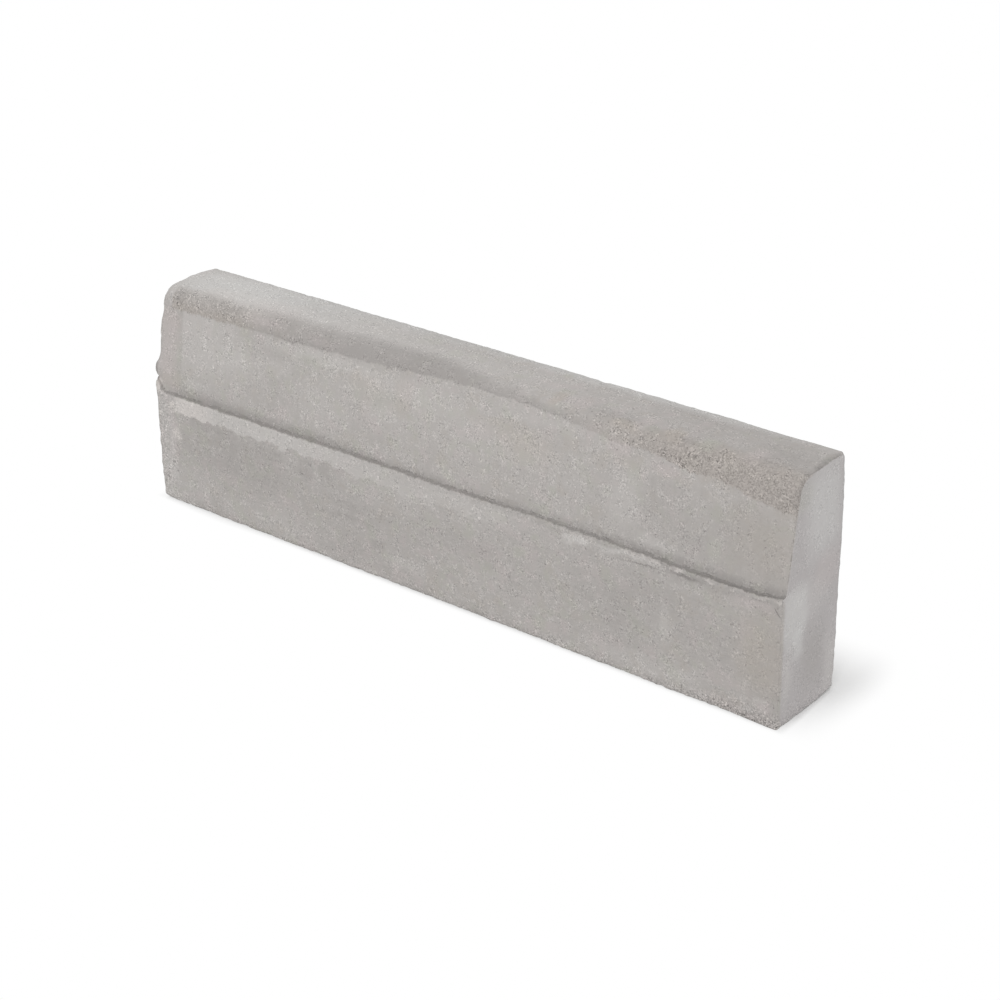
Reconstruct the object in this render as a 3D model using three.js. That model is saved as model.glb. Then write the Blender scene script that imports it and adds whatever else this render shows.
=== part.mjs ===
// Concrete kerb stone: a straight metre unit, cast as one piece. Its road face stands upright up to
// a narrow ledge, leans back above it, and turns over a rounded nose into the flat top.
//
// Millimetres, +Z up. The origin is the middle of the base. X runs along the kerb, the road face
// looks towards -Y and the plain back looks towards +Y.

import * as THREE from 'three';
import { LoftGeometry } from 'three/addons/geometries/LoftGeometry.js';

// Overall sizes
const length = 1000;
const width = 120;
const height = 300;

// Road face: the upright part ends at the ledge's lip, and the battered part starts at its foot
const lipHeight = 158;
const ledgeDepth = 6.5;
const ledgeRise = 3;
const batterSetback = 20.5; // how much further back the battered face would meet the top

// Roundings of the section's corners, and of the arris round each end face
const noseRadius = 18;
const coveRadius = 10;
const lipRadius = 2;
const longArrisRadius = 6;
const endArrisRadius = 5;

// Curves: the angle that one facet turns through, and the limits on a rounding
const facetAngle = THREE.MathUtils.degToRad(7.5);
const endArrisFacets = 8;
const sharpestRadius = 0.3;
const mostOfSideRounded = 0.98;

const roadSide = -width / 2;
const backSide = width / 2;
const batterFoot = roadSide + ledgeDepth;
const batterTop = batterFoot + batterSetback;

// Corners of the section before rounding, as (Y, Z), anticlockwise seen from the +X end
const corners = [
  { at: new THREE.Vector2(roadSide, 0), radius: longArrisRadius },
  { at: new THREE.Vector2(backSide, 0), radius: longArrisRadius },
  { at: new THREE.Vector2(backSide, height), radius: longArrisRadius },
  { at: new THREE.Vector2(batterTop, height), radius: noseRadius },
  { at: new THREE.Vector2(batterFoot, lipHeight + ledgeRise), radius: coveRadius },
  { at: new THREE.Vector2(roadSide, lipHeight), radius: lipRadius },
];

// The side of the section that leaves each corner, as a unit direction
function sideDirections(points) {
  return points.map((point, i) => points[(i + 1) % points.length].clone().sub(point).normalize());
}

// The sharp corners with every side moved into the material by the same distance
function drawnIn(points, distance) {
  const leaving = sideDirections(points);
  return points.map((point, i) => {
    const arriving = leaving.at(i - 1);
    const inward = new THREE.Vector2(-arriving.y - leaving[i].y, arriving.x + leaving[i].x);
    return point.clone().addScaledVector(inward, distance / (1 + arriving.dot(leaving[i])));
  });
}

// The turn at each corner: positive where the section is convex, negative in the cove
function turnsAt(points) {
  const leaving = sideDirections(points);
  return leaving.map((direction, i) => {
    const arriving = leaving.at(i - 1);
    return Math.atan2(arriving.cross(direction), arriving.dot(direction));
  });
}

// How far each rounding reaches along its two sides, kept within the length of those sides
function roundingReaches(points, turns, inset) {
  const wanted = corners.map(({ radius }, i) => {
    const drawnRadius = turns[i] > 0 ? Math.max(radius - inset, sharpestRadius) : radius + inset;
    return drawnRadius * Math.tan(Math.abs(turns[i]) / 2);
  });
  return wanted.map((reach, i) => {
    const next = (i + 1) % points.length;
    const roomBefore = points[i].distanceTo(points.at(i - 1)) / (reach + wanted.at(i - 1));
    const roomAfter = points[i].distanceTo(points[next]) / (reach + wanted[next]);
    return reach * Math.min(1, mostOfSideRounded * roomBefore, mostOfSideRounded * roomAfter);
  });
}

// Points of the arc that rounds one corner between its two sides
function arcAt(corner, arriving, turn, reach) {
  const signedRadius = reach / Math.tan(turn / 2);
  const start = corner.clone().addScaledVector(arriving, -reach);
  const towardsCentre = new THREE.Vector2(-arriving.y, arriving.x).multiplyScalar(signedRadius);
  const centre = start.clone().add(towardsCentre);
  const facets = Math.ceil(Math.abs(turn) / facetAngle);
  return Array.from({ length: facets + 1 }, (_, i) =>
    start.clone().rotateAround(centre, (turn * i) / facets),
  );
}

// The rounded outline of the section at one place along the kerb
function sectionAt(x, inset) {
  const points = drawnIn(corners.map(({ at }) => at), inset);
  const directions = sideDirections(points);
  const turns = turnsAt(points);
  const reaches = roundingReaches(points, turns, inset);
  return points
    .flatMap((point, i) => arcAt(point, directions.at(i - 1), turns[i], reaches[i]))
    .map((point) => new THREE.Vector3(x, point.x, point.y));
}

// Sections through one end's arris, from the end face to where the full section starts
function endSections(side) {
  return Array.from({ length: endArrisFacets + 1 }, (_, i) => {
    const angle = (Math.PI / 2) * (i / endArrisFacets);
    const x = side * (length / 2 - endArrisRadius * (1 - Math.cos(angle)));
    return sectionAt(x, endArrisRadius * (1 - Math.sin(angle)));
  });
}

const castConcrete = new THREE.MeshStandardMaterial({
  color: new THREE.Color(0xaca8a3),
  roughness: 0.9,
  metalness: 0,
});

const sections = [...endSections(-1), ...endSections(1).reverse()];
const kerbStone = new THREE.Mesh(
  new LoftGeometry(sections, { capStart: true, capEnd: true }),
  castConcrete,
);
kerbStone.name = 'kerb_stone';

const kerb = new THREE.Group();
kerb.add(kerbStone);

export default kerb;
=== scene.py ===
"""Gives a packed kerb stone its looks: the cast concrete itself, and a plain studio around it."""

import math
from types import SimpleNamespace

import bpy
from bpy.props import FloatProperty, FloatVectorProperty, IntProperty, PointerProperty
from mathutils import Matrix, Vector


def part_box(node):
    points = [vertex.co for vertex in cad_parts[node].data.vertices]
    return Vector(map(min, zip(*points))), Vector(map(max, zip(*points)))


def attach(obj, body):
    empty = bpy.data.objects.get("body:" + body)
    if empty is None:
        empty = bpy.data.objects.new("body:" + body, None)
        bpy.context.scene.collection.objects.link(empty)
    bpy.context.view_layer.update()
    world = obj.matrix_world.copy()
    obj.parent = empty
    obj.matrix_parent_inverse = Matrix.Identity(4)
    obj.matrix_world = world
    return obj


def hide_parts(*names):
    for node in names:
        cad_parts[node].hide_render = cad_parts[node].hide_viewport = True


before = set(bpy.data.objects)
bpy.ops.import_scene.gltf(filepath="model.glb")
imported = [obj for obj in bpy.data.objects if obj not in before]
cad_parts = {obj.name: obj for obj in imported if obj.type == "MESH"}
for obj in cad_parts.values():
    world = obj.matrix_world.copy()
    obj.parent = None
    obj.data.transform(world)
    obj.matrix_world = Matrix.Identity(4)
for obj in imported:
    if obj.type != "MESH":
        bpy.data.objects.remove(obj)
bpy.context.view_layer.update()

bl_info = {
    "name": "Kerb Stone Casting",
    "version": (1, 0, 0),
    "blender": (4, 5, 0),
    "location": "3D View > Sidebar > Kerb",
    "description": "Casts a weathered concrete kerb stone over its packed model",
    "category": "Object",
}

CAD_NODE = "kerb_stone"
BODY = "root"
PIECE_NAME = "kerb_stone_casting"
MM = 0.001

stone_low, stone_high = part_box(CAD_NODE)

# Steps of the casting's surface grid, from one end, side or level of the stone to the other
END_STEPS = 10
RUN_STEPS = 376
NOSE_STEPS = 7
TOP_STEPS = 16
BACK_ARRIS_STEPS = 4
BASE_ARRIS_ROWS = 4
PLINTH_ROWS = 26
UNDER_LIP_ROWS = 4
LIP_ROWS = 13
COVE_ROWS = 7
BATTER_ROWS = 26
NOSE_ROWS = 7

# Lengths of the close-set parts of that grid
END_ZONE = 12 * MM
ARRIS_ZONE = 8 * MM
UNDER_LIP_ZONE = 7 * MM
LIP_BELOW = 2 * MM
LIP_ZONE = 7 * MM
COVE_ZONE = 12 * MM


# ---------------------------------------------------------------------------
# Settings
# ---------------------------------------------------------------------------


def length_setting(name, description, default):
    """A length that a user can change, in metres."""
    return FloatProperty(
        name=name, description=description, default=default, subtype="DISTANCE", unit="LENGTH", precision=5
    )


def colour_setting(name, description, default):
    """A scene-linear colour that a user can change."""
    return FloatVectorProperty(
        name=name, description=description, default=default, subtype="COLOR", size=3, min=0.0, max=1.0
    )


def share_setting(name, description, default):
    """A plain amount, where 1 is the usual strength."""
    return FloatProperty(name=name, description=description, default=default, min=0.0, soft_max=4.0)


def factor_setting(name, description, default):
    """An amount from nothing to all."""
    return FloatProperty(
        name=name, description=description, default=default, min=0.0, max=1.0, subtype="FACTOR"
    )


def angle_setting(name, description, degrees):
    """An angle that a user can change."""
    return FloatProperty(name=name, description=description, default=math.radians(degrees), subtype="ANGLE")


class KerbSectionSettings(bpy.types.PropertyGroup):
    """Sizes of the section and of the roundings"""

    length: length_setting("Length", "Length of the stone", stone_high.x - stone_low.x)
    width: length_setting("Width", "Width of the base", stone_high.y - stone_low.y)
    height: length_setting("Height", "Height of the stone", stone_high.z - stone_low.z)
    lip_height: length_setting("Lip Height", "Top of the upright part of the road face", 158 * MM)
    ledge_depth: length_setting("Ledge Depth", "How far the ledge is set back", 6.5 * MM)
    ledge_rise: length_setting("Ledge Rise", "How much the ledge falls towards the road", 3 * MM)
    batter_setback: length_setting(
        "Batter Setback", "How much further back the battered face meets the top", 20.5 * MM
    )
    nose_radius: length_setting("Nose Radius", "Rounding between the road face and the top", 18 * MM)
    long_arris_radius: length_setting("Long Arris Radius", "Rounding of the other long edges", 6 * MM)
    end_arris_radius: length_setting("End Arris Radius", "Rounding round each end face", 5 * MM)


class KerbReliefSettings(bpy.types.PropertyGroup):
    """Unevenness that casting and handling leave on the stone"""

    groove_depth: length_setting("Groove Depth", "Open joint behind the ledge's lip", 1.8 * MM)
    lip_flash: length_setting("Lip Flash", "Ragged fin standing along the lip", 1.8 * MM)
    lip_sway: length_setting("Lip Sway", "Slow rise and fall of the lip along the stone", 6.0 * MM)
    lip_tear: length_setting("Lip Tear", "Short rise and fall of the lip", 2.2 * MM)
    lip_upturn: length_setting("Lip Upturn", "Rise of the lip round the left end", 18.0 * MM)
    waviness: length_setting("Waviness", "Slow waves of the faces", 1.0 * MM)
    unevenness: length_setting("Unevenness", "Short waves of the faces", 0.8 * MM)
    sand_relief: length_setting("Sand Relief", "Lumps where the sand is laid bare", 1.0 * MM)
    arris_wear: length_setting("Arris Wear", "How far the edges are worn back", 1.8 * MM)
    lip_flakes: length_setting("Lip Flakes", "Depth of the flakes broken off the lip", 2.2 * MM)
    chip_depth: length_setting("Chip Depth", "Depth of the chips along the edges", 2.6 * MM)
    burr_height: length_setting("Burr Height", "Lump left beside the road face on the left end", 6.5 * MM)
    seed: IntProperty(name="Seed", description="Picks another set of chips and waves", default=7, min=0)


class ConcreteSettings(bpy.types.PropertyGroup):
    """Colours of the concrete and how strongly they vary"""

    paste: colour_setting("Paste", "Cement skin on the faces", (0.424, 0.402, 0.386))
    pale: colour_setting("Pale Paste", "Skin rich in cement", (0.552, 0.531, 0.513))
    cool: colour_setting("Cool Paste", "Pale skin with a cold tinge", (0.590, 0.586, 0.573))
    cream: colour_setting("Cream Paste", "Palest skin and broken flecks", (0.610, 0.572, 0.545))
    mauve: colour_setting("Mauve Paste", "Dense skin of the right end", (0.432, 0.411, 0.410))
    dark: colour_setting("Dark Paste", "Damp or dense skin", (0.330, 0.311, 0.298))
    rose: colour_setting("Rose Paste", "Skin with a rosy tinge", (0.470, 0.424, 0.414))
    ochre: colour_setting("Ochre Paste", "Skin stained by soil", (0.410, 0.370, 0.330))
    olive: colour_setting("Olive Paste", "Skin with a greenish tinge", (0.412, 0.408, 0.362))
    sand: colour_setting("Sand", "Sand laid bare along the nose", (0.347, 0.315, 0.292))
    streak: colour_setting("Streak", "Dark smear along the nose", (0.305, 0.286, 0.275))
    # Grime is real dirt, and also painted shade: in the groove, in cracks, pits and the hollow under a
    # flake, along the sand's lower limit and on the left end's paste
    grime: colour_setting("Grime", "Dirt held in the groove and on the edges", (0.152, 0.142, 0.135))
    mottling: share_setting("Mottling", "Cloudy variation of the skin", 1.0)
    grain: share_setting("Grain", "Fine speckle of the skin", 1.0)
    roughness: factor_setting("Roughness", "Mean roughness of the skin", 0.9)


# The settings above that are colours
TINTS = (
    "paste", "pale", "cool", "cream", "mauve", "dark",
    "rose", "ochre", "olive", "sand", "streak", "grime",
)


class StudioSettings(bpy.types.PropertyGroup):
    """Floor, light and camera"""

    floor_colour: colour_setting("Floor Colour", "Colour of the floor", (0.80, 0.80, 0.80))
    shadow_share: factor_setting("Shadow Share", "How much of the shadow close to the stone shows", 1.0)
    shadow_side: length_setting("Shadow Side", "How far the shadow shows past the ends", 0.058)
    shadow_back: length_setting("Shadow Back", "How far the shadow shows behind the stone", 0.12)
    shadow_front: length_setting("Shadow Front", "How far the shadow shows in front of the stone", 0.006)
    sky_light: share_setting("Sky Light", "Strength of the even light from all round", 0.78)
    key_light: FloatProperty(
        name="Key Light", description="Power of the large lamp", default=190.0, unit="POWER"
    )
    camera_turn: angle_setting("Camera Turn", "Direction round the stone", 39.846)
    camera_rise: angle_setting("Camera Rise", "Angle above the floor", 25.633)
    camera_roll: angle_setting("Camera Roll", "Tilt about the line of sight", -1.003)
    camera_distance: length_setting("Camera Distance", "From the point looked at", 2.5902)
    camera_lens: FloatProperty(name="Lens", description="Focal length in millimetres", default=78.52)
    looked_at: FloatVectorProperty(
        name="Looked At",
        description="Point that the camera looks at",
        default=(0.10317, -0.060, 0.17018),
        subtype="TRANSLATION",
        unit="LENGTH",
    )


# Every setting that is an input of the casting's tree
CASTING_SETTINGS = (*KerbSectionSettings.__annotations__, *KerbReliefSettings.__annotations__)


def socket_name(setting):
    """The name of the input that a setting feeds."""
    return setting.replace("_", " ").title()


# ---------------------------------------------------------------------------
# Node wiring
# ---------------------------------------------------------------------------


class Value:
    """What a node puts out. A number takes part in sums as a plain number does."""

    def __init__(self, wiring, socket):
        self.wiring = wiring
        self.socket = socket

    def __add__(self, other):
        return self.wiring.maths("ADD", self, other)

    def __radd__(self, other):
        return self.wiring.maths("ADD", other, self)

    def __sub__(self, other):
        return self.wiring.maths("SUBTRACT", self, other)

    def __rsub__(self, other):
        return self.wiring.maths("SUBTRACT", other, self)

    def __mul__(self, other):
        return self.wiring.maths("MULTIPLY", self, other)

    def __rmul__(self, other):
        return self.wiring.maths("MULTIPLY", other, self)

    def __truediv__(self, other):
        return self.wiring.maths("DIVIDE", self, other)


class Wiring:
    """Adds nodes to one tree and feeds their inputs with values, sockets or plain numbers."""

    COLUMN = 190
    ROW = 210
    ROWS = 8

    def __init__(self, tree):
        self.tree = tree

    def node(self, kind, inputs=None, **settings):
        """A new node with its settings made and its inputs fed, by name or by number."""
        made = self.tree.nodes.new(kind)
        place = len(self.tree.nodes) - 1
        made.location = (self.COLUMN * (place // self.ROWS), -self.ROW * (place % self.ROWS))
        for name, value in settings.items():
            setattr(made, name, value)
        for key, value in (inputs or {}).items():
            self.feed(made.inputs[key], value)
        return made

    def value(self, kind, inputs=None, output=0, **settings):
        """What a new node puts out."""
        return Value(self, self.node(kind, inputs, **settings).outputs[output])

    def feed(self, socket, value):
        """Links what a node puts out to an input, or sets the input to a plain number."""
        if isinstance(value, Value):
            value = value.socket
        if isinstance(value, bpy.types.NodeSocket):
            self.tree.links.new(value, socket)
        elif value is not None:
            socket.default_value = value

    def maths(self, operation, first, second=None, third=None, clamp=False):
        """One number worked out from others."""
        inputs = {0: first, 1: second, 2: third}
        return self.value("ShaderNodeMath", inputs, operation=operation, use_clamp=clamp)

    def least(self, first, *others):
        """The smallest of numbers."""
        for other in others:
            first = self.maths("MINIMUM", first, other)
        return first

    def most(self, first, *others):
        """The largest of numbers."""
        for other in others:
            first = self.maths("MAXIMUM", first, other)
        return first

    def ramp(self, value, low, high, out_low=0.0, out_high=1.0, smooth=False):
        """A number taken from one range to another and held at its ends."""
        inputs = {0: value, 1: low, 2: high, 3: out_low, 4: out_high}
        kind = "SMOOTHSTEP" if smooth else "LINEAR"
        return self.value("ShaderNodeMapRange", inputs, clamp=True, interpolation_type=kind)

    def bump_at(self, value, centre, reach):
        """One at the centre and falling smoothly to nothing at that reach on both sides."""
        away = self.maths("ABSOLUTE", value - centre)
        return self.ramp(away, 0.0, reach, 1.0, 0.0, smooth=True)

    def vector(self, x=0.0, y=0.0, z=0.0):
        """A vector from its three parts."""
        return self.value("ShaderNodeCombineXYZ", {0: x, 1: y, 2: z})

    def parts(self, vector):
        """The three parts of a vector."""
        made = self.node("ShaderNodeSeparateXYZ", {0: vector})
        return tuple(Value(self, socket) for socket in made.outputs)

    def along(self, operation, first, second=None):
        """A vector worked out from others."""
        return self.value("ShaderNodeVectorMath", {0: first, 1: second}, operation=operation)

    def length(self, vector):
        """The length of a vector."""
        return self.value("ShaderNodeVectorMath", {0: vector}, output=1, operation="LENGTH")

    def scaled(self, vector, amount):
        """A vector times a number."""
        return self.value("ShaderNodeVectorMath", {0: vector, "Scale": amount}, operation="SCALE")

    def seeded(self, inputs, seed):
        """A texture's inputs and dimensions, where a seed is a fourth one."""
        if seed is None:
            return inputs, "3D"
        return {**inputs, "W": seed}, "4D"

    def noise(self, vector, size, seed=None, detail=2.0, roughness=0.5, output=0):
        """Smooth noise round a half, with features of about the given size."""
        inputs = {"Vector": vector, "Scale": 1.0 / size, "Detail": detail, "Roughness": roughness}
        inputs, dimensions = self.seeded(inputs, seed)
        return self.value("ShaderNodeTexNoise", inputs, output=output, noise_dimensions=dimensions)

    def swing(self, *args, **settings):
        """Noise that swings about nothing, by about half each way."""
        return self.noise(*args, **settings) - 0.5

    def astray(self, vector, size):
        """A vector that swings about nothing, by about half each way."""
        noise = self.noise(vector, size, detail=4.0, roughness=0.6, output=1)
        return self.along("SUBTRACT", noise, (0.5, 0.5, 0.5))

    def scatter(self, vector, size, seed=None):
        """Scattered points: the distance to the nearest, for a spacing, and its own chance colour."""
        inputs, dimensions = self.seeded({"Vector": vector, "Scale": 1.0 / size}, seed)
        made = self.node("ShaderNodeTexVoronoi", inputs, voronoi_dimensions=dimensions)
        return Value(self, made.outputs["Distance"]), Value(self, made.outputs["Color"])

    def curve(self, value, points):
        """A number read off a smooth curve through a few points, both running from 0 to 1."""
        made = self.node("ShaderNodeFloatCurve", {"Value": value})
        line = made.mapping.curves[0]
        line.points[0].location = points[0]
        line.points[-1].location = points[-1]
        for point in points[1:-1]:
            line.points.new(*point)
        made.mapping.update()
        return Value(self, made.outputs[0])

    def mark(self, name):
        """A number that the casting carries on its points."""
        settings = {"attribute_name": name, "attribute_type": "GEOMETRY"}
        return self.value("ShaderNodeAttribute", output="Fac", **settings)

    def blend(self, factor, first, second, mode="MIX"):
        """Two colours mixed."""
        inputs = {"Factor": factor, 6: first, 7: second}
        settings = {"data_type": "RGBA", "blend_type": mode, "clamp_factor": True}
        return self.value("ShaderNodeMix", inputs, output=2, **settings)

    def call(self, group, inputs, output):
        """What a node group puts out, with its inputs fed by name."""
        made = self.node("GeometryNodeGroup", node_tree=group)
        for name, value in inputs.items():
            self.feed(made.inputs[name], value)
        return Value(self, made.outputs[output])


def emptied(holder):
    """The wiring of a material or world, with its tree cleared."""
    holder.use_nodes = True
    holder.node_tree.nodes.clear()
    return Wiring(holder.node_tree)


def new_tree(name, kind, inputs, outputs):
    """A node tree with named sockets, and the wiring, the inputs by name and the output node to fill it."""
    tree = bpy.data.node_groups.new(name, kind)
    for label, (socket_type, default) in inputs.items():
        socket = tree.interface.new_socket(label, in_out="INPUT", socket_type=socket_type)
        if default is not None:
            socket.default_value = default
    for label, socket_type in outputs.items():
        tree.interface.new_socket(label, in_out="OUTPUT", socket_type=socket_type)
    wiring = Wiring(tree)
    entry = wiring.node("NodeGroupInput").outputs
    given = {label: Value(wiring, entry[label]) for label in inputs}
    return tree, wiring, given, wiring.node("NodeGroupOutput")


# ---------------------------------------------------------------------------
# Casting: a box of close-set rows, shaped to the section and then weathered
# ---------------------------------------------------------------------------

FLOAT = "NodeSocketFloat"
VECTOR = "NodeSocketVector"


def stepped(wiring, steps_taken, spans):
    """The distance reached after some steps, where each span is a number of steps and its length."""
    reached, first = 0.0, 0
    for steps, span in spans:
        reached += wiring.ramp(steps_taken, first, first + steps, 0.0, span)
        first += steps
    return reached


def grid_places(wiring, size):
    """Distances of each grid point from the left end, the road side and the base of the plain block."""
    x, y, z = wiring.parts(wiring.node("GeometryNodeInputPosition").outputs[0])
    columns = ((END_STEPS, END_ZONE), (RUN_STEPS, size.length - 2 * END_ZONE), (END_STEPS, END_ZONE))
    nose_and_arris = size.nose_radius + ARRIS_ZONE
    files = (
        (NOSE_STEPS, size.nose_radius),
        (TOP_STEPS, size.width - nose_and_arris),
        (BACK_ARRIS_STEPS, ARRIS_ZONE),
    )
    below_lip = size.lip_height - (ARRIS_ZONE + UNDER_LIP_ZONE + LIP_BELOW)
    lip_to_nose = size.height - size.nose_radius - size.lip_height
    rows = (
        (BASE_ARRIS_ROWS, ARRIS_ZONE),
        (PLINTH_ROWS, below_lip),
        (UNDER_LIP_ROWS, UNDER_LIP_ZONE),
        (LIP_ROWS, LIP_ZONE),
        (COVE_ROWS, COVE_ZONE),
        (BATTER_ROWS, lip_to_nose - (LIP_ZONE - LIP_BELOW + COVE_ZONE)),
        (NOSE_ROWS, size.nose_radius),
    )
    places = []
    for share, spans in ((x, columns), (y, files), (z, rows)):
        steps = sum(count for count, _ in spans)
        places.append(stepped(wiring, wiring.ramp(share, -1.0, 1.0, 0.0, steps), spans))
    return places


def grid_counts():
    """Numbers of grid points along the length, the width and the height."""
    columns = 2 * END_STEPS + RUN_STEPS
    files = NOSE_STEPS + TOP_STEPS + BACK_ARRIS_STEPS
    rows = BASE_ARRIS_ROWS + PLINTH_ROWS + UNDER_LIP_ROWS + LIP_ROWS + COVE_ROWS + BATTER_ROWS + NOSE_ROWS
    return columns + 1, files + 1, rows + 1


# How softly the ledge runs into the battered face and over the lip, and where the open joint lies above it
COVE_SOFTNESS = 9 * MM
LIP_SOFTNESS = 1.5 * MM
GROOVE_LEVEL = 2.7 * MM
GROOVE_REACH = 1.5 * MM


def road_face(wiring, size, above_lip, groove):
    """How far back the road face stands at each level: upright, ledge, cove and batter."""
    ledge = above_lip * (size.ledge_depth / size.ledge_rise)
    batter_rise = size.height - size.lip_height - size.ledge_rise
    lean = size.batter_setback / batter_rise
    batter = size.ledge_depth + (above_lip - size.ledge_rise) * lean
    upper = wiring.maths("SMOOTH_MIN", ledge, batter, COVE_SOFTNESS)
    face = wiring.maths("SMOOTH_MAX", 0.0, upper, LIP_SOFTNESS)
    slot = wiring.bump_at(above_lip, GROOVE_LEVEL, GROOVE_REACH)
    return face + slot * groove


def place_on_block(wiring, size):
    """Where each grid point lies before any edge is rounded, and how far in it is from each side."""
    run, back_from_road, level = grid_places(wiring, size)
    x = run - size.length / 2.0
    above_lip = level - size.lip_height
    patchy = wiring.noise(wiring.vector(x), 18 * MM, size.seed, detail=4.0)
    groove = size.groove_depth * wiring.ramp(patchy, 0.35, 0.65, 0.15, 1.0)
    face = road_face(wiring, size, above_lip, groove)
    depth_left = size.width - face
    from_face = back_from_road * (depth_left / size.width)
    half_width = size.width / 2.0
    y = face + from_face - half_width
    return SimpleNamespace(
        x=x,
        y=y,
        z=level,
        run=run,
        level=level,
        above_lip=above_lip,
        from_face=from_face,
        from_back=half_width - y,
        from_top=size.height - level,
        from_end=wiring.least(run, size.length - run),
    )


def rounding(wiring, across, down, radius):
    """How far a point moves along each of two sides to round the corner between them."""
    near_across = wiring.most(0.0, 1.0 - across / radius)
    near_down = wiring.most(0.0, 1.0 - down / radius)
    reach = wiring.length(wiring.vector(near_across, near_down))
    drawn = 1.0 - wiring.most(near_across, near_down) / reach
    return near_across * drawn * radius, near_down * drawn * radius


def corner_share(wiring, reach, *distances):
    """One at an edge or a corner, and falling smoothly to nothing at that reach along each of its sides."""
    return math.prod(wiring.bump_at(distance, 0.0, reach) for distance in distances)


def round_long_edges(wiring, size, spots):
    """Rounds the nose, and the other long edges by a radius that varies along the stone."""
    x = spots.x
    uneven = wiring.noise(wiring.vector(x), 60 * MM, size.seed, detail=3.0)
    arris = size.long_arris_radius * wiring.ramp(uneven, 0.3, 0.7, 0.3, 0.85)
    top_share = wiring.ramp(x, 0.0, 150 * MM, 0.45, 0.85) + wiring.ramp(x, 300 * MM, 480 * MM, 0.0, 0.95)
    foot_arris = (
        arris
        * wiring.ramp(x, -100 * MM, 350 * MM, 1.2, 0.5)
        * wiring.ramp(spots.run, 0.0, 35 * MM, 1.7, 1.0)
        * wiring.ramp(x, 440 * MM, 485 * MM, 1.0, 0.3)
    )
    nose_in, nose_down = rounding(wiring, spots.from_face, spots.from_top, size.nose_radius)
    back_in, back_down = rounding(wiring, spots.from_back, spots.from_top, arris * top_share)
    front_in, front_up = rounding(wiring, spots.from_face, spots.level, foot_arris)
    rear_in, rear_up = rounding(wiring, spots.from_back, spots.level, arris)
    spots.y = spots.y + nose_in + front_in - (back_in + rear_in)
    spots.z = spots.level + front_up + rear_up - (nose_down + back_down)


# How the lip runs along the stone, as shares of the length and of the sway, where a half is level
LIP_COURSE = (
    (0.0, 0.47), (0.14, 0.47), (0.25, 0.54), (0.32, 0.64), (0.4, 0.57), (0.5, 0.59), (0.57, 0.65),
    (0.62, 0.77), (0.7, 0.75), (0.8, 0.68), (0.86, 0.52), (0.92, 0.51), (0.955, 0.53), (0.98, 0.74),
    (1.0, 1.0),
)


def shift_lip(wiring, size, spots):
    """Moves the lip: a slow sway, short tears, an upturn at the left end and a ragged fin of flash."""
    along_stone = wiring.vector(spots.x)
    on_road_side = wiring.bump_at(spots.from_face, 0.0, 40 * MM)
    course = wiring.curve(spots.run / size.length, LIP_COURSE)
    raggedness = wiring.ramp(spots.x, 200 * MM, 420 * MM, 1.0, 1.9)
    tear = (
        wiring.swing(along_stone, 140 * MM, size.seed, detail=1.0) * 1.6
        + wiring.swing(along_stone, 26 * MM, size.seed, detail=3.0)
        + wiring.swing(along_stone, 9 * MM, size.seed, detail=2.0) * raggedness * 0.9
    )
    swayed = (
        (course * 2.0 - 1.0) * size.lip_sway
        + tear * size.lip_tear
        + size.lip_upturn * wiring.bump_at(spots.run, 0.0, 17 * MM)
    )
    swayed = swayed * wiring.bump_at(spots.above_lip, 0.0, 60 * MM) * on_road_side
    standing = wiring.noise(along_stone, 8 * MM, size.seed, detail=4.0, roughness=0.7)
    fin = (
        wiring.ramp(standing, 0.36, 0.68)
        * raggedness
        * size.lip_flash
        * wiring.bump_at(spots.above_lip, 0.4 * MM, 2.2 * MM)
        * on_road_side
    )
    spots.z = spots.z + swayed + fin


def end_rounding(wiring, size, spots):
    """The radius round each end face, larger at the worn corners."""
    place = wiring.vector(spots.x, spots.y, spots.z)
    wobble = wiring.ramp(wiring.noise(place, 22 * MM, size.seed, detail=3.0), 0.3, 0.7, 0.4, 1.3)
    right_share = wiring.most(
        wiring.ramp(spots.from_face, 88 * MM, 112 * MM, 0.3, 1.0),
        wiring.ramp(spots.above_lip, -6 * MM, 0.0, 0.8, 0.3),
    )
    crisp = wiring.ramp(spots.x, -0.1, 0.1, 1.0, right_share)
    from_right_end = size.length - spots.run
    left_nose = (
        corner_share(wiring, 60 * MM, spots.from_top, spots.from_face)
        * wiring.bump_at(spots.run, 0.0, 50 * MM)
    )
    right_nose = corner_share(wiring, 30 * MM, spots.from_top, spots.from_face, from_right_end)
    back_top = (
        wiring.bump_at(spots.from_top, 0.0, 40 * MM)
        * corner_share(wiring, 30 * MM, spots.from_back, spots.from_end)
    )
    back_foot = corner_share(wiring, 30 * MM, spots.level, spots.from_back, spots.from_end)
    left_lip = wiring.bump_at(spots.above_lip, 0.0, 14 * MM) * wiring.bump_at(spots.run, 0.0, 30 * MM)
    return (
        size.end_arris_radius * wobble * crisp
        + right_nose * (3 * MM)
        + left_nose * (10 * MM)
        + (back_top + back_foot) * (6 * MM)
        + left_lip * (5 * MM)
    )


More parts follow.
